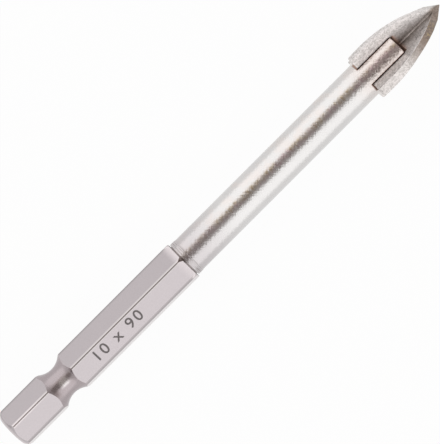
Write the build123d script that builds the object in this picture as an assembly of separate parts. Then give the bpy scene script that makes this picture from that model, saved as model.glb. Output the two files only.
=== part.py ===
from build123d import *
import os
from math import atan2, cos, degrees, hypot, radians, sqrt, tan

# Carbide tipped drill bit for glass and tiles, with a hexagonal drive shank. Millimetres.
# A cross of sintered carbide is brazed into a cross slot in the end of a turned steel body.
# Each piece is modelled standing on its shank end, tip up along Z, with a wing along X.
# It is then laid down as the bit comes to rest, on two wings, with the tip towards +X.

# Whole bit
OVERALL_LENGTH = 90.0

# Hexagonal shank, quarter inch drive, with a power groove that the chuck's balls snap into
HEX_LENGTH = 36.1
HEX_ACROSS_FLATS = 6.35
HEX_CORNER_ROUND = 0.4
END_FACE_DIAMETER = 5.3
END_CROWN_RADIUS = 4.0  # the turned bevel round the end face bulges this little
GROOVE_CENTRE = 10.6  # from the shank end
GROOVE_RADIUS = 3.2
GROOVE_NECK_DIAMETER = 4.93
SHOULDER_BEVEL_ANGLE = 13.0  # from the axis, where the hexagon meets the rod
SHOULDER_CROWN_RADIUS = 3.0
SHOULDER_LIP = 0.27  # the bevel's small end stands this much outside the flats

# Round rod, ground down to its diameter except for a short band by the shoulder
ROD_DIAMETER = 6.0
BAND_LENGTH = 0.9
BAND_STEP = 0.06  # the turned band's radius over the ground rod's
UNDERCUT_WIDTH = 0.2
UNDERCUT_DEPTH = 0.3

# Cross slot in the rod's end, which leaves four tines
SLOT_DEPTH = 6.8
TINE_ROUND = 0.15

# Carbide head, a cross of four wings with a spear outline
HEAD_LENGTH = 15.5
CUT_DIAMETER = 10.0  # across the leading corners
WING_THICKNESS = 1.2
WING_ROOT_RADIUS = 0.2
WIDEST_BELOW_TIP = 12.85
POINT_LENGTH = 3.7
POINT_ANGLE = 67.0
POINT_FLAT = 0.1
RELIEF_ANGLE = 10.0  # each wing's outer face falls back behind its leading corner
RELIEF_TILT = 22.0  # the outer face also falls away from the tip, which backs off the point
BACK_TAPER = 1.5
HEEL_CHAMFER = 0.2

# Braze that holds the head in its slot
BRAZE_GAP = 0.15  # beside each wing, and under the head
BRAZE_RECESS = 0.2  # the braze ends this far inside the rod's surface
COVE_LEG = 0.5
COVE_RADIUS = 0.8
BEAD_LEG = 0.2
BEAD_RADIUS = 0.3

HEX_CORNER_ANGLE = 43.0  # a corner of the hexagon nearly lines up with the middle of a tine

rod_radius = ROD_DIAMETER / 2
flat_radius = HEX_ACROSS_FLATS / 2
corner_radius = flat_radius / cos(radians(30))
wing_half = WING_THICKNESS / 2
relief_slope = tan(radians(RELIEF_ANGLE))
tilt_slope = tan(radians(RELIEF_TILT))
lead_reach = sqrt((CUT_DIAMETER / 2) ** 2 - wing_half**2)  # along the wing, to its leading corner
trail_reach = lead_reach - 2 * wing_half * relief_slope
head_base = OVERALL_LENGTH - HEAD_LENGTH
slot_floor = head_base - BRAZE_GAP
tine_end = slot_floor + SLOT_DEPTH


def hex_shank():
    """Hexagonal bar with chamfered ends and the power groove turned into it."""
    hexagon = RegularPolygon(flat_radius, 6, major_radius=False, rotation=HEX_CORNER_ANGLE)
    bar = extrude(fillet(hexagon.vertices(), HEX_CORNER_ROUND), HEX_LENGTH)

    end_radius = END_FACE_DIAMETER / 2
    shoulder_radius = flat_radius + SHOULDER_LIP
    shoulder_height = (corner_radius - shoulder_radius) / tan(radians(SHOULDER_BEVEL_ANGLE))
    end_bevel_top = (corner_radius, corner_radius - end_radius)
    shoulder_bevel_foot = (corner_radius, HEX_LENGTH - shoulder_height)
    groove_axis = GROOVE_NECK_DIAMETER / 2 + GROOVE_RADIUS
    groove_half = sqrt(GROOVE_RADIUS**2 - (groove_axis - corner_radius) ** 2)
    groove_low = (corner_radius, GROOVE_CENTRE - groove_half)
    groove_bottom = (GROOVE_NECK_DIAMETER / 2, GROOVE_CENTRE)
    groove_high = (corner_radius, GROOVE_CENTRE + groove_half)
    turned = Polyline((0, HEX_LENGTH), (0, 0), (end_radius, 0))
    turned += RadiusArc((end_radius, 0), end_bevel_top, -END_CROWN_RADIUS)
    turned += Line(end_bevel_top, groove_low)
    turned += ThreePointArc(groove_low, groove_bottom, groove_high)
    turned += Line(groove_high, shoulder_bevel_foot)
    turned += RadiusArc(shoulder_bevel_foot, (shoulder_radius, HEX_LENGTH), -SHOULDER_CROWN_RADIUS)
    turned += Line((shoulder_radius, HEX_LENGTH), (0, HEX_LENGTH))
    return bar & revolve(Plane.XZ * make_face(turned), Axis.Z)


def round_rod():
    """Rod from the hexagon's shoulder to the ends of the tines."""
    band_radius = rod_radius + BAND_STEP
    undercut_radius = band_radius - UNDERCUT_DEPTH
    undercut_top = HEX_LENGTH + UNDERCUT_WIDTH
    band_top = undercut_top + BAND_LENGTH
    edge_foot = (rod_radius, tine_end - TINE_ROUND)
    edge_top = (rod_radius - TINE_ROUND, tine_end)
    outline = Polyline(
        edge_top,
        (0, tine_end),
        (0, HEX_LENGTH),
        (undercut_radius, HEX_LENGTH),
        (undercut_radius, undercut_top),
        (band_radius, undercut_top),
        (band_radius, band_top),
        (rod_radius, band_top + BAND_STEP),
        edge_foot,
    )
    outline += RadiusArc(edge_foot, edge_top, -TINE_ROUND)
    return revolve(Plane.XZ * make_face(outline), Axis.Z)


def cross_section(thickness, reach):
    """Plan of a cross with rounded inner corners, arms of one thickness."""
    cross = Rectangle(2 * reach, thickness) + Rectangle(thickness, 2 * reach)
    inner_corners = cross.vertices().sort_by_distance((0, 0, 0))[:4]
    return fillet(inner_corners, WING_ROOT_RADIUS)


def cross_slot():
    """The milled cross slot, from its floor to the ends of the tines."""
    plan = cross_section(WING_THICKNESS + 2 * BRAZE_GAP, CUT_DIAMETER)
    return Pos(0, 0, slot_floor) * extrude(plan, SLOT_DEPTH)


def steel_body():
    """Shank, rod and tines, turned and milled from one hexagonal bar."""
    return hex_shank() + round_rod() - cross_slot()


def wing_end_outline():
    """Everything inside one wing's outer end, at the wing's middle: taper, one long arc, point."""
    middle_reach = lead_reach - wing_half * relief_slope
    widest = HEAD_LENGTH - WIDEST_BELOW_TIP
    point_base = HEAD_LENGTH - POINT_LENGTH
    point_slope = tan(radians(POINT_ANGLE / 2))
    point_half = POINT_FLAT / 2 + POINT_LENGTH * point_slope
    rise, step = point_base - widest, middle_reach - point_half
    arc_radius = (rise**2 + step**2) / (2 * step)
    below, above = -CUT_DIAMETER / 2, HEAD_LENGTH + 1  # clear of the head at any wing's lean
    foot = (middle_reach - (widest - below) * tan(radians(BACK_TAPER)), below)
    peak = (POINT_FLAT / 2 - (above - HEAD_LENGTH) * point_slope, above)
    side = Line(foot, (middle_reach, widest))
    side += RadiusArc((middle_reach, widest), (point_half, point_base), -arc_radius)
    side += Line((point_half, point_base), peak)
    side += Polyline(peak, (-CUT_DIAMETER, above), (-CUT_DIAMETER, below), foot)
    return make_face(side)


def carbide_head():
    """One sintered cross, each wing's outer end cut by a prism that leans by the two reliefs."""
    leaning = (relief_slope, 1, tilt_slope)
    wing_end = extrude(Plane.XZ * wing_end_outline(), CUT_DIAMETER, dir=leaning, both=True)
    head = extrude(cross_section(WING_THICKNESS, CUT_DIAMETER), HEAD_LENGTH)
    for quarter in range(4):
        head &= Rot(0, 0, quarter * 90) * wing_end
    heels = head.faces().sort_by(Axis.Z)[0].edges().sort_by_distance((0, 0, 0))[-4:]
    return Pos(0, 0, head_base) * chamfer(heels, HEEL_CHAMFER)


def braze_cove():
    """Braze drawn up in a hollow curve between the tine ends and a pair of wings."""
    foot = wing_half + COVE_LEG
    top = tine_end + COVE_LEG
    side = RadiusArc((foot, tine_end), (wing_half, top), COVE_RADIUS)
    outline = side + mirror(side, Plane.YZ)
    outline += Line((-foot, tine_end), (foot, tine_end)) + Line((-wing_half, top), (wing_half, top))
    return extrude(Plane.XZ * make_face(outline), rod_radius, both=True)


def braze_bead():
    """Bead in the corner between a wing's heel and the rod, joined to the braze under the head."""
    outer = (rod_radius + BEAD_LEG, head_base)
    lower = (rod_radius, head_base - BEAD_LEG)
    inner = rod_radius - 2 * BRAZE_RECESS
    outline = RadiusArc(outer, lower, BEAD_RADIUS)
    outline += Polyline(lower, (inner, head_base - BEAD_LEG), (inner, head_base), outer)
    return extrude(Plane.XZ * make_face(outline), wing_half, both=True)


def braze_joint(body, head):
    """All the braze: what is left of its outer form once the body and the head are taken out."""
    core = extrude(Circle(rod_radius - BRAZE_RECESS), OVERALL_LENGTH)
    cove = braze_cove()
    inside = (cross_slot() + cove + Rot(0, 0, 90) * cove) & core
    bead = braze_bead()
    beads = [Rot(0, 0, quarter * 90) * bead for quarter in range(4)]
    return inside + beads - head - body


def laid_down(piece):
    """Turns a standing piece to where the bit rests, with the origin under its middle."""
    # The head stands on the leading corner of one wing and the trailing corner of the next.
    # The bit rolls until the line between these two corners is level.
    lead_arm, trail_arm = lead_reach - wing_half, trail_reach - wing_half
    line_angle = degrees(atan2(trail_arm, -lead_arm))
    axis_height = (lead_reach * trail_reach - wing_half**2) / hypot(lead_arm, trail_arm)
    rolled = Rot(0, 0, 90 - line_angle) * piece
    return Pos(-OVERALL_LENGTH / 2, 0, axis_height) * Rot(0, 90, 0) * rolled


if __name__ == "__main__":
    body = steel_body()
    head = carbide_head()
    pieces = {"steel_body": body, "carbide_head": head, "braze_joint": braze_joint(body, head)}
    os.makedirs("parts", exist_ok=True)
    for name, piece in pieces.items():
        export_step(laid_down(piece), f"parts/{name}.step")
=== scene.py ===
"""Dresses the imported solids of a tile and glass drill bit: finishes, size marking and studio."""

import math
from functools import cached_property

import bmesh
import bpy
from mathutils import Matrix, Vector


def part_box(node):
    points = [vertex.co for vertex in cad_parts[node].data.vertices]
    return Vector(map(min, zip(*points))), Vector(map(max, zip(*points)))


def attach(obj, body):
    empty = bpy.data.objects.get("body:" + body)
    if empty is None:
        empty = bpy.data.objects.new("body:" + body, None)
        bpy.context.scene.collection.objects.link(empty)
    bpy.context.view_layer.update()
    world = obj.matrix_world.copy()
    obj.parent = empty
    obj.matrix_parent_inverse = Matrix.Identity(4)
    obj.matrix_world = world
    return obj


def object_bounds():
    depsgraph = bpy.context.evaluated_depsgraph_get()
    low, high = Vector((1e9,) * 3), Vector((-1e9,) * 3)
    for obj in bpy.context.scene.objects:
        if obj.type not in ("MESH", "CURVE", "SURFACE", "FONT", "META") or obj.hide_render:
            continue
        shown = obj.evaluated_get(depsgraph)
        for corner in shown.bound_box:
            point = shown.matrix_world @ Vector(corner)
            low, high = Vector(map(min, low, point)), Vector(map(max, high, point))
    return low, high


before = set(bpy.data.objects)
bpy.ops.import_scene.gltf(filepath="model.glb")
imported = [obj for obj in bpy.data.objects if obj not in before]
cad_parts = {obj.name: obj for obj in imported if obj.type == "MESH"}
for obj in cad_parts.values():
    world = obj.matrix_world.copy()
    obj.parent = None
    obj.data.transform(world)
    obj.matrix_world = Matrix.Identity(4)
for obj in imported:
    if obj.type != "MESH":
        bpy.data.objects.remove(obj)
cad_low, cad_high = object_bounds()

bl_info = {
    "name": "Tile Drill Bit",
    "version": (1, 0, 0),
    "blender": (4, 5, 0),
    "location": "3D View > Sidebar > Tile Bit",
    "description": "Finishes, size marking and studio for a carbide tipped tile drill bit",
    "category": "Object",
}

MM = 0.001
steel_low, steel_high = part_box("steel_body")
AXIS_HEIGHT = (steel_low.z + steel_high.z) / 2
SHANK_END = steel_low.x
BIT_LENGTH = cad_high.x - cad_low.x


def linear(r, g, b):
    """Scene colour of an sRGB colour given in 0 to 255."""

    def channel(value):
        share = value / 255
        return share / 12.92 if share <= 0.04045 else ((share + 0.055) / 1.055) ** 2.4

    return channel(r), channel(g), channel(b)


# Shader maths


class Value:
    """A number or colour that varies over a surface; sums of values add their Math nodes."""

    def __init__(self, nodes, socket):
        self.nodes = nodes
        self.socket = socket

    def math(self, operation, a, b=None):
        sockets = {0: a} if b is None else {0: a, 1: b}
        return self.nodes.node("ShaderNodeMath", {"operation": operation}, sockets)

    def __add__(self, other):
        return self.math("ADD", self, other)

    def __sub__(self, other):
        return self.math("SUBTRACT", self, other)

    def __mul__(self, other):
        return self.math("MULTIPLY", self, other)

    def __radd__(self, other):
        return self.math("ADD", other, self)

    def __rsub__(self, other):
        return self.math("SUBTRACT", other, self)

    def __rmul__(self, other):
        return self.math("MULTIPLY", other, self)

    def __neg__(self):
        return self.math("MULTIPLY", self, -1.0)

    def __abs__(self):
        return self.math("ABSOLUTE", self)

    def root(self):
        return self.math("SQRT", self)

    def at_most(self, other):
        return self.math("MINIMUM", self, other)

    def at_least(self, other):
        return self.math("MAXIMUM", self, other)


class Nodes:
    """A node tree, with every node made by one method."""

    def __init__(self, tree):
        self.tree = tree
        self.tree.nodes.clear()

    def node(self, kind, settings=None, sockets=None, output=0):
        """Adds a node: settings first, then its sockets; returns one of its outputs."""
        made = self.tree.nodes.new(kind)
        for name, setting in (settings or {}).items():
            setattr(made, name, setting)
        for name, given in (sockets or {}).items():
            if isinstance(given, Value):
                self.tree.links.new(given.socket, made.inputs[name])
            else:
                made.inputs[name].default_value = given
        return Value(self, made.outputs[output]) if made.outputs else made


class Finish(Nodes):
    """A procedural material."""

    def __init__(self, name):
        self.material = bpy.data.materials.new(name)
        self.material.use_nodes = True
        super().__init__(self.material.node_tree)

    def position(self):
        """Object coordinates as a vector, and its three numbers."""
        place = self.node("ShaderNodeTexCoord", output="Object")
        parts = self.node("ShaderNodeSeparateXYZ", None, {0: place})
        x, y, z = (Value(self, socket) for socket in parts.socket.node.outputs)
        return place, x, y, z

    def step(self, value, low, high):
        """0 below low and 1 above high, smooth between them."""
        settings = {"interpolation_type": "SMOOTHSTEP"}
        return self.node("ShaderNodeMapRange", settings, {0: value, 1: low, 2: high})

    def past(self, distance, low, high):
        """0 below low and 1 above high, both in millimetres."""
        return self.step(distance, low * MM, high * MM)

    def until(self, distance, low, high):
        """1 below low and 0 above high, both in millimetres."""
        return 1 - self.past(distance, low, high)

    def noise(self, place, scale, detail=2.0, roughness=0.5):
        sockets = {"Vector": place, "Scale": scale, "Detail": detail, "Roughness": roughness}
        return self.node("ShaderNodeTexNoise", None, sockets)

    def streaks(self, x, y, z, detail=2.0):
        """Noise over three coordinates that already hold their own scales."""
        return self.noise(self.node("ShaderNodeCombineXYZ", None, {0: x, 1: y, 2: z}), 1.0, detail)

    def mix(self, share, first, second, blend="MIX"):
        """Colours, mixed by a share."""
        settings = {"data_type": "RGBA", "blend_type": blend}
        first, second = (c if isinstance(c, Value) else (*c, 1.0) for c in (first, second))
        return self.node("ShaderNodeMix", settings, {0: share, 6: first, 7: second}, output=2)

    def mottled(self, colour, pattern, dark, light):
        """A colour times a shade that runs from dark to light over a pattern."""
        return self.mix(1.0, colour, self.mix(pattern, dark, light), "MULTIPLY")

    def bump(self, height, strength, distance):
        sockets = {"Height": height, "Strength": strength, "Distance": distance}
        return self.node("ShaderNodeBump", None, sockets)

    def metal(self, colour, roughness, normal):
        sockets = {"Base Color": colour, "Roughness": roughness, "Normal": normal, "Metallic": 1.0}
        self.output(self.node("ShaderNodeBsdfPrincipled", None, sockets))

    def output(self, surface):
        self.node("ShaderNodeOutputMaterial", None, {"Surface": surface})


def assign(piece, material):
    """Puts one material in all of a piece's slots."""
    for number in range(len(piece.data.materials)):
        piece.data.materials[number] = material
    if not piece.data.materials:
        piece.data.materials.append(material)


# Sizes and colours


class ShankSizes(bpy.types.PropertyGroup):
    """Where the turned features lie along the bit, from the shank's end face."""

    groove_centre: bpy.props.FloatProperty(
        name="Groove centre",
        description="Middle of the power groove",
        default=10.6 * MM,
        unit="LENGTH",
    )
    groove_radius: bpy.props.FloatProperty(
        name="Groove radius",
        description="Radius of the groove's arc",
        default=3.2 * MM,
        unit="LENGTH",
    )
    groove_neck: bpy.props.FloatProperty(
        name="Groove neck",
        description="Diameter left at the bottom of the groove",
        default=4.93 * MM,
        unit="LENGTH",
    )
    hex_length: bpy.props.FloatProperty(
        name="Hexagon length",
        description="From the end face to the shoulder",
        default=36.1 * MM,
        unit="LENGTH",
    )
    across_flats: bpy.props.FloatProperty(
        name="Across flats",
        description="Size of the hexagon",
        default=6.35 * MM,
        unit="LENGTH",
    )
    corner_start: bpy.props.FloatProperty(
        name="Corner start",
        description="Distance from the axis at which the hexagon's corners begin to round",
        default=3.53 * MM,
        unit="LENGTH",
    )
    corner_angle: bpy.props.FloatProperty(
        name="Corner angle",
        description="Direction of the hexagon's upper corner, from the side towards straight up",
        default=math.radians(86.577),
        subtype="ANGLE",
    )
    tine_angle: bpy.props.FloatProperty(
        name="Tine angle",
        description="Direction of the upper tine's middle, from the side towards straight up",
        default=math.radians(88.577),
        subtype="ANGLE",
    )
    bevel_foot: bpy.props.FloatProperty(
        name="Bevel foot",
        description="Distance from the axis of the shoulder bevel's small end",
        default=3.445 * MM,
        unit="LENGTH",
    )
    bevel_angle: bpy.props.FloatProperty(
        name="Bevel angle",
        description="Slope of the shoulder bevel, from the axis",
        default=math.radians(13),
        subtype="ANGLE",
    )
    undercut: bpy.props.FloatProperty(
        name="Undercut",
        description="Width of the undercut behind the shoulder",
        default=0.2 * MM,
        unit="LENGTH",
    )
    slot_floor: bpy.props.FloatProperty(
        name="Slot floor",
        description="Where the cross slot starts, from the shank's end face",
        default=74.35 * MM,
        unit="LENGTH",
    )
    slot_half: bpy.props.FloatProperty(
        name="Slot half width",
        description="From the middle of the slot to its side",
        default=0.75 * MM,
        unit="LENGTH",
    )
    tine_end: bpy.props.FloatProperty(
        name="Tine end",
        description="Ends of the tines, from the shank's end face",
        default=81.15 * MM,
        unit="LENGTH",
    )


class SteelColours(bpy.types.PropertyGroup):
    """Colours and roughness of the steel."""

    rod: bpy.props.FloatVectorProperty(
        name="Rod",
        description="Ground steel of the rod",
        default=linear(211, 209, 208),
        subtype="COLOR",
    )
    flats: bpy.props.FloatVectorProperty(
        name="Flats",
        description="Drawn steel of the hexagon's flats",
        default=linear(184, 177, 179),
        subtype="COLOR",
    )
    # Painted shade: a darker colour for the flats on the +Y side.
    shaded_flats: bpy.props.FloatVectorProperty(
        name="Dull flats",
        description="The flats on the side that was handled less",
        default=linear(166, 159, 161),
        subtype="COLOR",
    )
    # Painted highlight towards the shoulder and the end face.
    rim_highlight: bpy.props.FloatVectorProperty(
        name="Rim",
        description="Steel rubbed bright towards the shoulder and the end face",
        default=linear(206, 198, 199),
        subtype="COLOR",
    )
    groove: bpy.props.FloatVectorProperty(
        name="Groove",
        description="Turned steel in the power groove",
        default=linear(168, 158, 160),
        subtype="COLOR",
    )
    # Painted highlight: a light spot in the groove by its neck.
    neck: bpy.props.FloatVectorProperty(
        name="Neck",
        description="Spot that the chuck's balls rubbed bright in the groove",
        default=linear(228, 222, 222),
        subtype="COLOR",
    )
    warm: bpy.props.FloatVectorProperty(
        name="Warm tint",
        description="Faint brown of brazing heat on the tines, and in patches along the rod",
        default=linear(217, 205, 199),
        subtype="COLOR",
    )
    # The straw and plum tint along the top of the rod is partly painted shade.
    straw: bpy.props.FloatVectorProperty(
        name="Straw film",
        description="Yellow end of the thin film of old oil along the top of the rod",
        default=linear(178, 160, 128),
        subtype="COLOR",
    )
    plum: bpy.props.FloatVectorProperty(
        name="Plum film",
        description="Purple end of the thin film of old oil along the top of the rod",
        default=linear(184, 158, 164),
        subtype="COLOR",
    )
    # Painted highlight on the hexagon's upper corner.
    edge: bpy.props.FloatVectorProperty(
        name="Edge",
        description="The hexagon's upper corner, rubbed bright",
        default=linear(186, 180, 180),
        subtype="COLOR",
    )
    # Painted reflection: a lighter colour for the grazing flat at -Y.
    sheen_flat: bpy.props.FloatVectorProperty(
        name="Pale flat",
        description="The flat beside the marked one, rubbed pale",
        default=linear(222, 216, 216),
        subtype="COLOR",
    )
    # Painted shade on the hexagon's other corners.
    shaded_corner: bpy.props.FloatVectorProperty(
        name="Dull corner",
        description="The hexagon's other corners, where the drawing skin is left",
        default=linear(150, 144, 145),
        subtype="COLOR",
    )
    # Also painted shade: in the undercut, in the groove and on the shoulder's bevel.
    dirt_and_shade: bpy.props.FloatVectorProperty(
        name="Soot",
        description="Dirt in the undercut, in the groove and on the tines",
        default=linear(78, 57, 48),
        subtype="COLOR",
    )
    # Partly painted shade in the gaps along the slot and at the tines' ends.
    flux: bpy.props.FloatVectorProperty(
        name="Burnt flux",
        description="Rust-coloured flux along the slot and round the tines' ends",
        default=linear(118, 70, 46),
        subtype="COLOR",
    )
    rod_roughness: bpy.props.FloatProperty(
        name="Rod roughness",
        description="Roughness of the ground rod",
        default=0.28,
        subtype="FACTOR",
    )
    flat_roughness: bpy.props.FloatProperty(
        name="Flat roughness",
        description="Roughness of the hexagon's flats",
        default=0.3,
        subtype="FACTOR",
    )
    corner_roughness: bpy.props.FloatProperty(
        name="Corner roughness",
        description="Roughness of the hexagon's rubbed corners",
        default=0.1,
        subtype="FACTOR",
    )


class CarbideColours(bpy.types.PropertyGroup):
    """Colours and roughness of the sintered head."""

    clean: bpy.props.FloatVectorProperty(
        name="Clean",
        description="Blasted carbide",
        default=linear(213, 208, 206),
        subtype="COLOR",
    )
    # Painted light: a lighter colour on one wing's broad face at +Y.
    rubbed: bpy.props.FloatVectorProperty(
        name="Rubbed",
        description="Broad face of one wing, rubbed paler",
        default=linear(227, 221, 219),
        subtype="COLOR",
    )
    # Partly painted shade: on one wing near the point, and on the -Y side of the point.
    tint: bpy.props.FloatVectorProperty(
        name="Heat tint",
        description="Brown heat tint near the point",
        default=linear(138, 124, 115),
        subtype="COLOR",
    )
    straw: bpy.props.FloatVectorProperty(
        name="Straw tint",
        description="Yellow spots at the edge of the heat tint",
        default=linear(152, 136, 106),
        subtype="COLOR",
    )
    # Painted shade in the corners between the wings and on one wing's outer face.
    painted_shade: bpy.props.FloatVectorProperty(
        name="Dust",
        description="Grey film in the corners between the wings",
        default=linear(160, 150, 144),
        subtype="COLOR",
    )
    roughness: bpy.props.FloatProperty(
        name="Roughness",
        description="Roughness of the blasted surface",
        default=0.42,
        subtype="FACTOR",
    )


class BrazeColours(bpy.types.PropertyGroup):
    """Colours of the brazing alloy."""

    bright: bpy.props.FloatVectorProperty(
        name="Bright",
        description="Copper colour of the clean alloy",
        default=linear(200, 170, 155),
        subtype="COLOR",
    )
    # Also painted shade in the pocket behind the tines' ends and at the gaps.
    soot_and_shade: bpy.props.FloatVectorProperty(
        name="Sooty",
        description="Burnt alloy in the gaps",
        default=linear(56, 34, 23),
        subtype="COLOR",
    )


class MarkingSizes(bpy.types.PropertyGroup):
    """The size marking that a laser burns into one flat."""

    words: bpy.props.StringProperty(
        name="Words",
        description="Cutting diameter and length in millimetres",
        default="10 x 90",
    )
    letter_size: bpy.props.FloatProperty(
        name="Letter size",
        description="Type size of the marking",
        default=2.6 * MM,
        unit="LENGTH",
    )
    spacing: bpy.props.FloatProperty(
        name="Spacing",
        description="Distance between letters over the usual one",
        default=1.25,
    )
    weight: bpy.props.FloatProperty(
        name="Weight",
        description="How much the strokes are thickened on each side",
        default=0.025 * MM,
        unit="LENGTH",
    )
    middle: bpy.props.FloatProperty(
        name="Middle",
        description="Middle of the marking, from the shank's end face",
        default=21.35 * MM,
        unit="LENGTH",
    )
    across: bpy.props.FloatProperty(
        name="Across",
        description="Middle of the marking, from the middle of its flat towards the upper corner",
        default=0.25 * MM,
        unit="LENGTH",
    )
    depth: bpy.props.FloatProperty(
        name="Depth",
        description="Thickness of the burnt skin",
        default=0.012 * MM,
        unit="LENGTH",
    )
    dark: bpy.props.FloatVectorProperty(
        name="Dark",
        description="Colour of the strokes where the burn is deepest",
        default=linear(92, 88, 88),
        subtype="COLOR",
    )
    light: bpy.props.FloatVectorProperty(
        name="Light",
        description="Colour of the strokes where the burn is shallow",
        default=linear(150, 144, 144),
        subtype="COLOR",
    )


class StudioSizes(bpy.types.PropertyGroup):
    """Camera, lamps and floor."""

    turn: bpy.props.FloatProperty(
        name="Camera turn",
        description="Camera's turn about the bit's axis, from straight above",
        default=math.radians(3.3),
        subtype="ANGLE",
    )
    distance: bpy.props.FloatProperty(
        name="Camera distance",
        description="From the camera to the bit's axis",
        default=0.403,
        unit="LENGTH",
    )
    square_at: bpy.props.FloatProperty(
        name="Square at",
        description="Where the camera stands square over the bit, from the shank's end face",
        default=48.3 * MM,
        unit="LENGTH",
    )
    middle_at: bpy.props.FloatProperty(
        name="Middle at",
        description="Where the picture's middle falls along the bit, from the shank's end face",
        default=43.99 * MM,
        unit="LENGTH",
    )
    middle_left: bpy.props.FloatProperty(
        name="Middle to the left",
        description="How far the picture's middle falls to the left of the bit's axis",
        default=0.21 * MM,
        unit="LENGTH",
    )
    focal_pixels: bpy.props.FloatProperty(
        name="Focal length in pixels",
        description="Focal length over the width of one of the picture's pixels",
        default=2700.0,
    )
    softbox_level: bpy.props.FloatProperty(
        name="Softbox level",
        description="How much brighter than white the softboxes look",
        default=0.4,
    )
    room_level: bpy.props.FloatProperty(
        name="Room level",
        description="How bright the room lights matte surfaces",
        default=0.7,
    )
    floor_glow: bpy.props.FloatProperty(
        name="Floor glow",
        description="Share of plain white in the floor, over its shadowed part",
        default=0.96,
        subtype="FACTOR",
    )


PROPERTY_GROUPS = {
    "bit_shank": ShankSizes,
    "bit_steel": SteelColours,
    "bit_carbide": CarbideColours,
    "bit_braze": BrazeColours,
    "bit_marking": MarkingSizes,
    "bit_studio": StudioSizes,
}


# Pieces

WING_TO_TINE = math.radians(45)
CORNER_TO_FLAT = math.radians(30)

# Where a look changes, from its start to its full strength or back, in millimetres.
# Along the shank, from its end face
# Painted highlight at the end face.
END_HIGHLIGHT = (0.1, 0.5)
# Painted highlight on the upper corner near the end face.
CORNER_HIGHLIGHT = (4.0, 9.0)
# Along the rod, from the shoulder
# Painted highlight before the shoulder.
SHOULDER_HIGHLIGHT = (-1.5, -0.1)
BAND_RINGS = (0.9, 1.6)
DIM_STEEL = (1.5, 11.0)
SHOULDER_GRINDING = (2.0, 8.0)
# Along the tines, back from the point
TINE_HEAT = (13.0, 20.0)
TINE_SCALE = (14.0, 17.0)
TINE_FLECKS = (16.0, 18.0)
TINE_GRINDING = (16.0, 21.0)
# Along the head, back from the point
# Heat tint that is partly painted shade, near the point and on one wing.
POINT_TINT = (1.4, 3.8)
TINT_FADE = (2.2, 3.8)
TINT_START = (4.8, 8.6)
STRAW_START, STRAW_END = (4.6, 6.0), (2.0, 3.2)
PITS_START, PITS_END = (6.5, 7.5), (3.0, 4.0)
# Painted shade on one wing and in the corners between the wings.
WING_SHADE_START = (7.0, 11.0)
BROAD_FACE_LESS_SHADE = (4.0, 7.0)
CORNER_SHADE_FADE = (4.0, 8.0)

# Darkest and lightest shade of the mottling
STEEL_SHADES = (0.92, 0.92, 0.92), (1.08, 1.08, 1.08)
CARBIDE_SHADES = (0.76, 0.76, 0.75), (1.16, 1.16, 1.16)

# Heights of the relief in the finishes
GRINDING_DEPTH = 0.03 * MM
BLASTING_DEPTH = 0.018 * MM
BRAZE_WAVES = 0.03 * MM
BURN_DEPTH = 0.01 * MM


class BitFinish(Finish):
    """A finish that knows where on the bit each point of the surface lies."""

    def __init__(self, name):
        super().__init__(name)
        self.place, x, self.y, self.z = self.position()
        self.along = x - SHANK_END

    @cached_property
    def to_point(self):
        """Distance back from the point."""
        return BIT_LENGTH - self.along

    @cached_property
    def height(self):
        """Height over the bit's axis."""
        return self.z - AXIS_HEIGHT

    @cached_property
    def radius(self):
        """Distance from the bit's axis."""
        return (self.y * self.y + self.height * self.height).root()

    def turned(self, angle):
        """Coordinates along and across a direction square to the axis."""
        cosine, sine = math.cos(angle), math.sin(angle)
        return self.y * cosine + self.height * sine, self.height * cosine - self.y * sine


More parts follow.
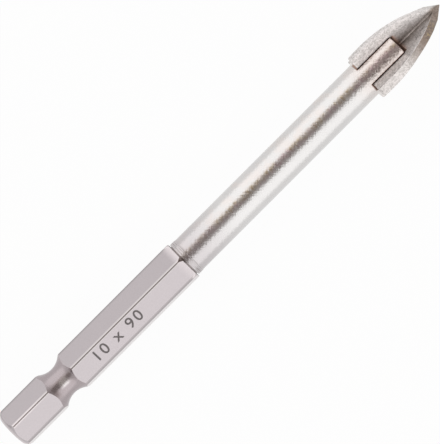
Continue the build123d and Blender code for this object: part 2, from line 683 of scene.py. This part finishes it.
class BIT_OT_steel_finish(bpy.types.Operator):
    """Gives the steel body its ground rod, drawn flats and turned groove"""

    bl_idname = "tile_bit.steel_finish"
    bl_label = "Steel Finish"

    def execute(self, context):
        sizes, colours = context.scene.bit_shank, context.scene.bit_steel
        finish = BitFinish("ground_steel_finish")
        cloud = finish.noise(finish.place, 700.0, 3.0)
        patch = finish.noise(finish.place, 1600.0, 3.0, 0.6)
        speck = finish.noise(finish.place, 5200.0, 2.0, 0.6)

        rod = finish.past(finish.along - sizes.hex_length, -0.05, 0.02)
        groove = self.groove(finish, sizes)
        hexagon = (1 - rod) * (1 - groove)
        corner = finish.past(finish.radius - sizes.corner_start, -0.02, 0.03)

        colour = self.shank_colour(finish, sizes, colours)
        colour = finish.mix(rod, colour, self.rod_colour(finish, sizes, colours))
        colour = finish.mix(groove, colour, self.groove_colour(finish, sizes, colours, patch))
        # Painted shade in the undercut behind the shoulder.
        colour = finish.mix(self.undercut(finish, sizes) * 0.5, colour, colours.dirt_and_shade)
        # Burnt flux, and painted shade in the gaps along the slot and at the tines' ends.
        colour = finish.mix(self.flux(finish, sizes, patch), colour, colours.flux)
        pattern = cloud * 0.4 + speck * 0.6
        colour = finish.mottled(colour, pattern, *STEEL_SHADES)

        flat_over_rod = colours.flat_roughness - colours.rod_roughness
        corner_over_flat = colours.corner_roughness - colours.flat_roughness
        rough = hexagon * flat_over_rod + colours.rod_roughness
        rough = rough + hexagon * corner * corner_over_flat + (cloud - 0.5) * 0.08
        normal = self.marks(finish, sizes, rod, groove, hexagon * (1 - corner))
        finish.metal(colour, rough, normal)
        assign(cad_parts["steel_body"], finish.material)
        return {"FINISHED"}

    def groove(self, finish, sizes):
        """1 on the groove's hollow surface."""
        to_arc_centre = finish.radius - (sizes.groove_neck / 2 + sizes.groove_radius)
        from_middle = finish.along - sizes.groove_centre
        off_centre = (to_arc_centre * to_arc_centre + from_middle * from_middle).root()
        return finish.until(off_centre - sizes.groove_radius, 0.01, 0.05)

    def shank_colour(self, finish, sizes, colours):
        """Flats, with painted shade on one side, painted highlights before the shoulder and the end
        face, and painted light and shade on the corners.
        """
        # Painted shade on the flats of the +Y side.
        side = finish.past(finish.y, 0.1, 0.5)
        colour = finish.mix(side, colours.flats, colours.shaded_flats)
        # Painted reflection: the grazing flat at -Y made lighter.
        outermost = finish.past(-finish.y, 3.04, 3.1)
        colour = finish.mix(outermost, colour, colours.sheen_flat)

        # The corners: painted shade, but a painted highlight on the upper one, strongest near the
        # end face.
        reach, across = finish.turned(sizes.corner_angle)
        top = finish.past(reach, 0.0, 1.0) * finish.until(abs(across), 0.6, 1.2)
        corner_shading = finish.mix(top, colours.shaded_corner, colours.edge)
        most = top * finish.until(finish.along, *CORNER_HIGHLIGHT)
        corner_shading = finish.mix(most * 0.8, corner_shading, colours.rim_highlight)
        corner = finish.past(finish.radius - sizes.corner_start, -0.05, 0.0)
        colour = finish.mix(corner * (0.8 + top * 0.2), colour, corner_shading)

        # Painted highlights before the shoulder, on its bevel and at the end face, and painted
        # shade on the shoulder's bevel by the upper corner.
        from_shoulder = finish.along - sizes.hex_length
        past_bevel = finish.radius - sizes.bevel_foot + from_shoulder * math.tan(sizes.bevel_angle)
        rim_highlight = finish.past(from_shoulder, *SHOULDER_HIGHLIGHT) * (0.5 + side * 0.3)
        rim_highlight = rim_highlight.at_least(finish.past(past_bevel, -0.08, -0.02))
        rim_highlight = rim_highlight.at_least(finish.until(finish.along, *END_HIGHLIGHT))
        colour = finish.mix(rim_highlight, colour, colours.rim_highlight)
        # Painted shade on the shoulder's bevel by the upper corner.
        soot_and_shade = finish.past(past_bevel, -0.01, 0.01) * top * 0.65
        return finish.mix(soot_and_shade, colour, colours.dirt_and_shade)

    def rod_colour(self, finish, sizes, colours):
        """Ground steel, dimmer by the shoulder, ringed on its band and warm on the tines."""
        place, along, y = finish.place, finish.along, finish.y
        to_point = finish.to_point
        cloud = finish.noise(place, 480.0, 3.0, 0.6)
        drift = finish.noise(place, 260.0, 2.0, 0.5)
        scale = finish.noise(place, 3400.0, 2.0, 0.6)
        streak = finish.streaks(along * 2600.0, y * 900.0, 0.0)

        warmth = finish.step(cloud, 0.4, 0.65) * finish.past(y, -0.4, 0.6) * 0.4
        heat = finish.until(to_point, *TINE_HEAT) * (0.5 + cloud * 0.6)
        colour = finish.mix(warmth.at_least(heat).at_most(1.0), colours.rod, colours.warm)

        # A straw to plum tint along the top of the rod: partly a film of old oil, partly painted
        # shade.
        film = finish.mix(finish.step(drift - y * 150.0, 0.4, 0.56), colours.straw, colours.plum)
        top = finish.past(y, -0.65, -0.1) * finish.until(y, 0.4, 0.9)
        colour = finish.mix(top * finish.step(streak, 0.2, 0.8) * 0.8, colour, film)

        # Scale that brazing left on the tines, thickest beside their middle.
        beside = finish.past(-y, 0.1, 0.6) * finish.until(-y, 0.9, 1.3)
        brown = finish.until(to_point, *TINE_SCALE) * beside
        brown = brown * (0.2 + finish.step(scale, 0.38, 0.62) * 1.2)
        colour = finish.mix((brown * 0.42).at_most(1.0), colour, colours.dirt_and_shade)
        flecks = finish.step(scale, 0.5, 0.62) * finish.until(to_point, *TINE_FLECKS)
        flecks = flecks * (1 - finish.past(abs(y), 0.4, 1.6) * 0.7)
        colour = finish.mix(flecks * 0.18, colour, colours.dirt_and_shade)

        # Dimmer steel near the shoulder, and rings on the turned band.
        from_shoulder = along - sizes.hex_length
        dim = finish.until(from_shoulder, *DIM_STEEL)
        colour = finish.mix(dim * 0.6, colour, colours.flats)
        ring = finish.streaks(along * 11000.0, y * 500.0, 0.0, 1.0)
        ringed = finish.until(from_shoulder, *BAND_RINGS) * finish.step(ring, 0.42, 0.64)
        return finish.mix(ringed * 0.42, colour, colours.dirt_and_shade)

    def groove_colour(self, finish, sizes, colours, patch):
        """Turned steel with a painted highlight at the neck, and painted shade towards both ends
        and on the end face's side.
        """
        from_neck = abs(finish.along - (sizes.groove_centre + 0.2 * MM))
        beside = abs(finish.y + 0.35 * MM)
        # Painted highlight at the neck.
        spot = finish.until(from_neck, 0.2, 1.2) * finish.until(beside, 0.35, 0.8)
        colour = finish.mix(spot * (0.6 + patch * 0.6), colours.groove, colours.neck)
        # Painted shade towards both ends of the groove, and on its end face's side.
        film = finish.past(from_neck, 0.3, 1.6) * finish.until(beside, 0.4, 1.8)
        spread = finish.until(abs(finish.y + 0.45 * MM), 0.7, 1.6)
        spread = spread + finish.until(abs(finish.y + 0.85 * MM), 0.2, 0.7)
        low = finish.past(sizes.groove_centre - finish.along, 0.9, 1.7) * spread
        low = low * (0.2 + patch * 0.3) * 0.72
        return finish.mix((film * (0.03 + patch * 0.16)).at_least(low), colour, colours.dirt_and_shade)

    def undercut(self, finish, sizes):
        """1 in the undercut behind the shoulder."""
        from_shoulder = finish.along - sizes.hex_length
        start = finish.past(from_shoulder, -0.04, -0.01)
        return start * finish.until(from_shoulder - sizes.undercut, -0.01, 0.04)

    def flux(self, finish, sizes, patch):
        """Burnt flux and painted shade in the slot, along its edges and round the tines' ends."""
        first, second = finish.turned(sizes.tine_angle - WING_TO_TINE)
        from_slot = abs(first).at_most(abs(second)) - sizes.slot_half
        beside = finish.until(from_slot, 0.0, 0.06 + patch * 0.16)
        beside = beside * finish.past(finish.along - sizes.slot_floor, -0.25, 0.0)
        burnt_end = finish.past(finish.along - sizes.tine_end, -0.22, -0.02)
        return (beside * 0.85).at_least(burnt_end * 0.4)

    def marks(self, finish, sizes, rod, groove, flats):
        """Grinding marks round and across the rod, turning marks in the groove, and drawn flats."""
        along, y, height = finish.along, finish.y, finish.height
        rings = finish.streaks(along * 9000.0, y * 300.0, height * 300.0)
        across, lengthways = 2500.0, 350.0
        rising = (along + y) * across, (y - along) * lengthways, height * lengthways
        falling = (along - y) * across, (y + along) * lengthways, height * lengthways
        hatch = finish.streaks(*rising) + finish.streaks(*falling)
        ripple = finish.noise(finish.place, 2200.0, 3.0, 0.6)
        peel = finish.noise(finish.place, 4500.0, 3.0, 0.6)
        by_shoulder = finish.until(along - sizes.hex_length, *SHOULDER_GRINDING)
        coarse = finish.until(finish.to_point, *TINE_GRINDING) + by_shoulder * 0.3
        ground = rings * 0.1 + hatch * (1.1 + coarse * 0.3) + ripple * (0.35 + coarse)
        relief = rod * ground + groove * rings * 0.3 + flats * peel * 0.15
        return finish.bump(relief, 1.0, GRINDING_DEPTH)


class BIT_OT_carbide_finish(bpy.types.Operator):
    """Gives the carbide head its blasted surface, heat tint, and painted light and shade"""

    bl_idname = "tile_bit.carbide_finish"
    bl_label = "Carbide Finish"

    def execute(self, context):
        scene = context.scene
        sizes, colours, braze = scene.bit_shank, scene.bit_carbide, scene.bit_braze
        finish = BitFinish("sintered_carbide_finish")
        blotch = finish.noise(finish.place, 1100.0, 4.0, 0.55)
        speck = finish.noise(finish.place, 2600.0, 3.0, 0.65)
        pits = finish.noise(finish.place, 4200.0, 2.0, 0.5)
        grain = finish.noise(finish.place, 14000.0, 2.0, 0.6)

        colour = self.tinted(finish, sizes, colours, blotch, speck)
        colour = self.brazed(finish, sizes, braze, colour, blotch)
        colour = self.pitted(finish, braze, colour, pits)
        pattern = finish.step(blotch * 0.2 + speck * 0.4 + pits * 0.4, 0.4, 0.6)
        colour = finish.mottled(colour, pattern, *CARBIDE_SHADES)
        rough = colours.roughness + (blotch - 0.5) * 0.12
        normal = finish.bump(grain * 0.4 + speck * 0.6, 0.65, BLASTING_DEPTH)
        finish.metal(colour, rough, normal)
        assign(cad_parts["carbide_head"], finish.material)
        return {"FINISHED"}

    def tinted(self, finish, sizes, colours, blotch, speck):
        """Blasted carbide, with painted shade in its corners and on one wing, painted light on one
        broad face, and heat tint, partly painted shade, on one wing and round the point.
        """
        to_point, y = finish.to_point, finish.y
        reach, across = finish.turned(sizes.tine_angle + WING_TO_TINE)
        # Painted shade on one wing's outer face, less on its broad face.
        wing = finish.past(across, -0.58, -0.5) * finish.past(reach, 0.5, 0.8)
        broad_face = finish.past(across, 0.5, 0.58)
        film = (0.22 + finish.until(to_point, *WING_SHADE_START) * 0.78) * wing * (0.7 + blotch * 0.5)
        film = film * (1 - broad_face * finish.until(to_point, *BROAD_FACE_LESS_SHADE) * 0.4)
        colour = finish.mix(film.at_most(1.0), colours.clean, colours.painted_shade)

        # Heat tint on one wing near the point, partly painted shade.
        heat = finish.until(to_point, *TINT_START)
        heat = heat * (1 - finish.until(to_point, *TINT_FADE) * 0.4)
        heat = heat * wing * (0.8 + blotch * 0.5) * (1 - broad_face * 0.45)
        # Darker on the -Y side of the point: heat tint, partly painted shade.
        point = finish.until(to_point, *POINT_TINT) * finish.past(-y, -0.75, -0.1)
        heat = heat.at_least(point * (0.75 + blotch * 0.4)).at_most(1.0)
        colour = finish.mix(heat, colour, colours.tint)
        # Painted light on one wing's broad face at +Y.
        pale = finish.past(y, 1.4, 2.1) * finish.until(y, 3.45, 3.6)
        colour = finish.mix(pale * 0.6, colour, colours.rubbed)
        straw = heat * finish.until(to_point, *STRAW_START) * finish.past(to_point, *STRAW_END)
        straw = straw * finish.step(speck, 0.5, 0.62)
        colour = finish.mix(straw * 0.8, colour, colours.straw)

        # Painted shade in the corners between the wings, less near the point away from the middle.
        hollow = finish.until(finish.radius, 0.8, 2.4) * (1 - heat)
        less_shade = finish.past(abs(y), 0.1, 0.4) * finish.until(to_point, *CORNER_SHADE_FADE)
        return finish.mix(hollow * (1 - less_shade * 0.8) * 0.8, colour, colours.painted_shade)

    def brazed(self, finish, sizes, braze, colour, blotch):
        """Alloy that crept up the wings above the tines, and burnt alloy and painted shade in the
        corners and the slot.
        """
        from_tines = finish.along - sizes.tine_end
        wash = finish.past(from_tines, -0.4, 0.0) * finish.until(from_tines, 0.2, 1.1)
        wash = wash * finish.until(finish.radius, 2.2, 3.0)
        wash = wash * (0.5 + blotch * 0.8).at_most(1.0)
        colour = finish.mix(wash * 0.9, colour, braze.bright)
        # Burnt alloy and painted shade in the pocket above the tines' ends.
        burnt = finish.past(from_tines, -1.15, -0.65) * finish.until(from_tines, 0.3, 2.2)
        burnt = burnt * finish.until(finish.radius, 1.0, 1.6)
        colour = finish.mix(burnt * 0.6, colour, braze.soot_and_shade)
        # Painted shade in the gap at the tines' ends.
        gap = finish.until(finish.radius, 2.96, 3.06) * finish.until(from_tines, -0.03, 0.0)
        return finish.mix(gap * 0.7, colour, braze.soot_and_shade)

    def pitted(self, finish, braze, colour, pits):
        """Dark pits in a band on one wing's broad face."""
        to_point, y = finish.to_point, finish.y
        band = finish.past(-y, 0.5, 0.8) * finish.until(-y, 1.3, 1.6)
        band = band * finish.until(to_point, *PITS_START) * finish.past(to_point, *PITS_END)
        return finish.mix(band * finish.step(pits, 0.52, 0.6) * 0.6, colour, braze.soot_and_shade)


class BIT_OT_braze_finish(bpy.types.Operator):
    """Gives the brazing alloy its dull copper colour, with burnt alloy and painted shade near the
    tines' ends
    """

    bl_idname = "tile_bit.braze_finish"
    bl_label = "Braze Finish"

    def execute(self, context):
        sizes, colours = context.scene.bit_shank, context.scene.bit_braze
        finish = BitFinish("braze_finish")
        patch = finish.noise(finish.place, 1600.0, 3.0, 0.6)
        # Dark near the tines' ends: burnt alloy and painted shade; paler on the +Y side.
        cove = finish.past(finish.along - sizes.tine_end, 0.08, 0.48)
        cove = cove * (0.3 + finish.past(finish.y, 0.0, 1.0) * 0.7)
        bead = finish.until(finish.along - sizes.slot_floor, 0.1, 0.2)
        bead = bead * (0.2 + finish.past(finish.y, -0.5, 0.5) * 0.8)
        clean = cove.at_least(bead) * (0.35 + patch * 0.9)
        colour = finish.mix(clean.at_most(1.0), colours.soot_and_shade, colours.bright)
        finish.metal(colour, 0.45 + patch * 0.2, finish.bump(patch, 0.5, BRAZE_WAVES))
        assign(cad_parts["braze_joint"], finish.material)
        return {"FINISHED"}


class BIT_OT_size_marking(bpy.types.Operator):
    """Adds the bit's size, burnt into one flat of the shank"""

    bl_idname = "tile_bit.size_marking"
    bl_label = "Size Marking"

    def execute(self, context):
        sizes, shank = context.scene.bit_marking, context.scene.bit_shank
        mesh = self.lettering(context, sizes)
        flat_angle = shank.corner_angle + CORNER_TO_FLAT
        outward = Vector((0.0, math.cos(flat_angle), math.sin(flat_angle)))
        reading = Vector((1.0, 0.0, 0.0))
        upward = outward.cross(reading)
        centre = Vector((SHANK_END + sizes.middle, 0.0, AXIS_HEIGHT))
        centre += outward * (shank.across_flats / 2) + upward * sizes.across
        on_flat = Matrix((reading, upward, outward)).transposed().to_4x4()
        mesh.transform(Matrix.Translation(centre) @ on_flat)
        piece = bpy.data.objects.new("size_marking", mesh)
        context.scene.collection.objects.link(piece)

        finish = Finish("size_marking_finish")
        speckle = finish.noise(finish.position()[0], 9000.0)
        colour = finish.mix(speckle, sizes.dark, sizes.light)
        finish.metal(colour, 0.6 + speckle * 0.2, finish.bump(speckle, 0.3, BURN_DEPTH))
        assign(piece, finish.material)
        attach(piece, "root")
        return {"FINISHED"}

    def lettering(self, context, sizes):
        """The words as a thin mesh, centred on the origin in the XY plane."""
        words = bpy.data.curves.new("size_marking_text", "FONT")
        words.body = sizes.words
        words.size = sizes.letter_size
        words.space_character = sizes.spacing
        words.align_x = "CENTER"
        words.align_y = "CENTER"
        words.extrude = sizes.depth / 2
        words.resolution_u = 6
        words.offset = sizes.weight
        loose = bpy.data.objects.new("size_marking_loose", words)
        context.scene.collection.objects.link(loose)
        context.view_layer.update()
        mesh = bpy.data.meshes.new_from_object(loose)
        bpy.data.objects.remove(loose)
        bpy.data.curves.remove(words)
        mesh.name = "size_marking"
        return mesh


# Studio

FLOOR_SIZE = 8.0
FLOOR_COLOUR = (0.88, 0.88, 0.88)
SOFTBOX_REACH = 0.5  # from the bit's axis
SOFTBOX_LENGTH = 1.6
# Name, side, lean from straight over the bit in degrees, and width
SOFTBOXES = (("left", -1, 56.0, 0.6), ("right", 1, 56.5, 0.66))
BOARD_WIDTH = 0.84
BOARD_LENGTH = 9.0
BOARD_HEIGHT = 0.9  # over the bit's axis
BOARD_SHIFT = 0.05  # to the left of it
BOARD_FADE = (0.12, 0.42)  # across the board, from its dark part to its pale side
BOARD_DARK = (0.31, 0.28, 0.265)
BOARD_PALE = (0.66, 0.57, 0.52)
PICTURE_LONG_SIDE = 444  # pixels
SENSOR_WIDTH = 36.0  # millimetres
WHITE = (1.0, 1.0, 1.0, 1.0)


def background_rays(nodes):
    """1 for rays that show the background: the camera's, and those of gloss and transmission."""
    path = nodes.node("ShaderNodeLightPath").socket.node.outputs
    shown = Value(nodes, path["Is Camera Ray"]).at_least(Value(nodes, path["Is Glossy Ray"]))
    return shown.at_least(Value(nodes, path["Is Transmission Ray"]))


def flat_board(name, width, length):
    """A rectangle in the XY plane, length along X."""
    mesh = bpy.data.meshes.new(name)
    form = bmesh.new()
    bmesh.ops.create_grid(form, x_segments=1, y_segments=1, size=0.5)
    bmesh.ops.scale(form, vec=(length, width, 1.0), verts=form.verts)
    form.to_mesh(mesh)
    form.free()
    board = bpy.data.objects.new(name, mesh)
    bpy.context.scene.collection.objects.link(board)
    return board


def facing(place, target, along):
    """Matrix at place whose -Z axis looks at the target, its X axis as near as can be to along."""
    back = (place - target).normalized()
    side = (along - back * along.dot(back)).normalized()
    up = back.cross(side)
    return Matrix.Translation(place) @ Matrix((side, up, back)).transposed().to_4x4()


class BIT_OT_studio(bpy.types.Operator):
    """Adds the floor, softboxes, dark board, camera and view settings"""

    bl_idname = "tile_bit.studio"
    bl_label = "Studio"

    def execute(self, context):
        scene, sizes = context.scene, context.scene.bit_studio
        tip = Vector((1.0, 0.0, 0.0))
        over = Vector((0.0, -math.sin(sizes.turn), math.cos(sizes.turn)))
        right = tip.cross(over)
        self.add_floor(sizes)
        self.add_softboxes(scene, sizes, tip, over, right)
        self.add_dark_board(tip, over, right)
        self.add_room(scene, sizes)
        self.add_camera(scene, sizes, tip, over, right)
        scene.view_settings.view_transform = "Standard"
        return {"FINISHED"}

    def add_floor(self, sizes):
        """Matte floor, with a share of plain white for the rays that show the background."""
        floor = flat_board("floor", FLOOR_SIZE, FLOOR_SIZE)
        finish = Finish("floor_finish")
        matte = finish.node("ShaderNodeBsdfDiffuse", None, {"Color": (*FLOOR_COLOUR, 1.0)})
        white = finish.node("ShaderNodeEmission", None, {"Color": WHITE, "Strength": 1.0})
        share = background_rays(finish) * sizes.floor_glow
        finish.output(finish.node("ShaderNodeMixShader", None, {0: share, 1: matte, 2: white}))
        assign(floor, finish.material)

    def add_softboxes(self, scene, sizes, tip, over, right):
        """One long lamp on each side of the bit, leaning from straight over it."""
        axis = Vector((0.0, 0.0, AXIS_HEIGHT))
        for name, side, degrees, width in SOFTBOXES:
            lean = math.radians(degrees)
            outwards = over * math.cos(lean) + right * side * math.sin(lean)
            lamp = bpy.data.lights.new(f"softbox_{name}", "AREA")
            lamp.shape = "RECTANGLE"
            lamp.size, lamp.size_y = SOFTBOX_LENGTH, width
            lamp.energy = sizes.softbox_level * math.pi * lamp.size * lamp.size_y
            softbox = bpy.data.objects.new(f"softbox_{name}", lamp)
            softbox.matrix_world = facing(axis + outwards * SOFTBOX_REACH, axis, tip)
            softbox.visible_camera = False
            scene.collection.objects.link(softbox)

    def add_dark_board(self, tip, over, right):
        """A board over the bit, which gives the steel its dark reflection."""
        axis = Vector((0.0, 0.0, AXIS_HEIGHT))
        board = flat_board("dark_board", BOARD_WIDTH, BOARD_LENGTH)
        place = axis + over * BOARD_HEIGHT - right * BOARD_SHIFT
        board.matrix_world = facing(place, axis, tip)
        board.visible_camera = False
        board.visible_shadow = False
        finish = Finish("dark_board_finish")
        fade = finish.step(finish.position()[2], *BOARD_FADE)
        colour = finish.mix(fade, BOARD_DARK, BOARD_PALE)
        finish.output(finish.node("ShaderNodeEmission", None, {"Color": colour, "Strength": 1.0}))
        assign(board, finish.material)

    def add_room(self, scene, sizes):
        """A white background that lights matte surfaces less than it shows."""
        world = bpy.data.worlds.new("room")
        world.use_nodes = True
        room = Nodes(world.node_tree)
        level = background_rays(room) * (1.0 - sizes.room_level) + sizes.room_level
        glow = room.node("ShaderNodeBackground", None, {"Color": WHITE, "Strength": level})
        room.node("ShaderNodeOutputWorld", None, {"Surface": glow})
        scene.world = world

    def add_camera(self, scene, sizes, tip, over, right):
        """Square over the axis at one place, and aimed at another."""
        axis = Vector((SHANK_END, 0.0, AXIS_HEIGHT))
        eye = axis + tip * sizes.square_at + over * sizes.distance
        target = axis + tip * sizes.middle_at - right * sizes.middle_left
        camera = bpy.data.cameras.new("camera")
        camera.sensor_width = SENSOR_WIDTH
        camera.lens = sizes.focal_pixels / PICTURE_LONG_SIDE * SENSOR_WIDTH
        camera.clip_start, camera.clip_end = 0.01, 20.0
        view = bpy.data.objects.new("camera", camera)
        view.matrix_world = facing(eye, target, tip + right)
        scene.collection.objects.link(view)
        scene.camera = view


OPERATORS = (
    BIT_OT_steel_finish,
    BIT_OT_carbide_finish,
    BIT_OT_braze_finish,
    BIT_OT_size_marking,
    BIT_OT_studio,
)


class BIT_PT_pieces(bpy.types.Panel):
    """Shows the bit's settings and operators in the sidebar"""

    bl_idname = "BIT_PT_pieces"
    bl_label = "Tile Drill Bit"
    bl_space_type = "VIEW_3D"
    bl_region_type = "UI"
    bl_category = "Tile Bit"

    def draw(self, context):
        for group in PROPERTY_GROUPS:
            box = self.layout.box()
            settings = getattr(context.scene, group)
            for name in settings.__annotations__:
                box.prop(settings, name)
        for operator in OPERATORS:
            self.layout.operator(operator.bl_idname)


def register():
    for group in PROPERTY_GROUPS.values():
        bpy.utils.register_class(group)
    for name, group in PROPERTY_GROUPS.items():
        setattr(bpy.types.Scene, name, bpy.props.PointerProperty(type=group))
    for operator in OPERATORS:
        bpy.utils.register_class(operator)
    bpy.utils.register_class(BIT_PT_pieces)


def unregister():
    bpy.utils.unregister_class(BIT_PT_pieces)
    for operator in reversed(OPERATORS):
        bpy.utils.unregister_class(operator)
    for name, group in PROPERTY_GROUPS.items():
        delattr(bpy.types.Scene, name)
        bpy.utils.unregister_class(group)


def main():
    register()
    bpy.ops.tile_bit.steel_finish()
    bpy.ops.tile_bit.carbide_finish()
    bpy.ops.tile_bit.braze_finish()
    bpy.ops.tile_bit.size_marking()
    bpy.ops.tile_bit.studio()


if __name__ == "__main__":
    main()
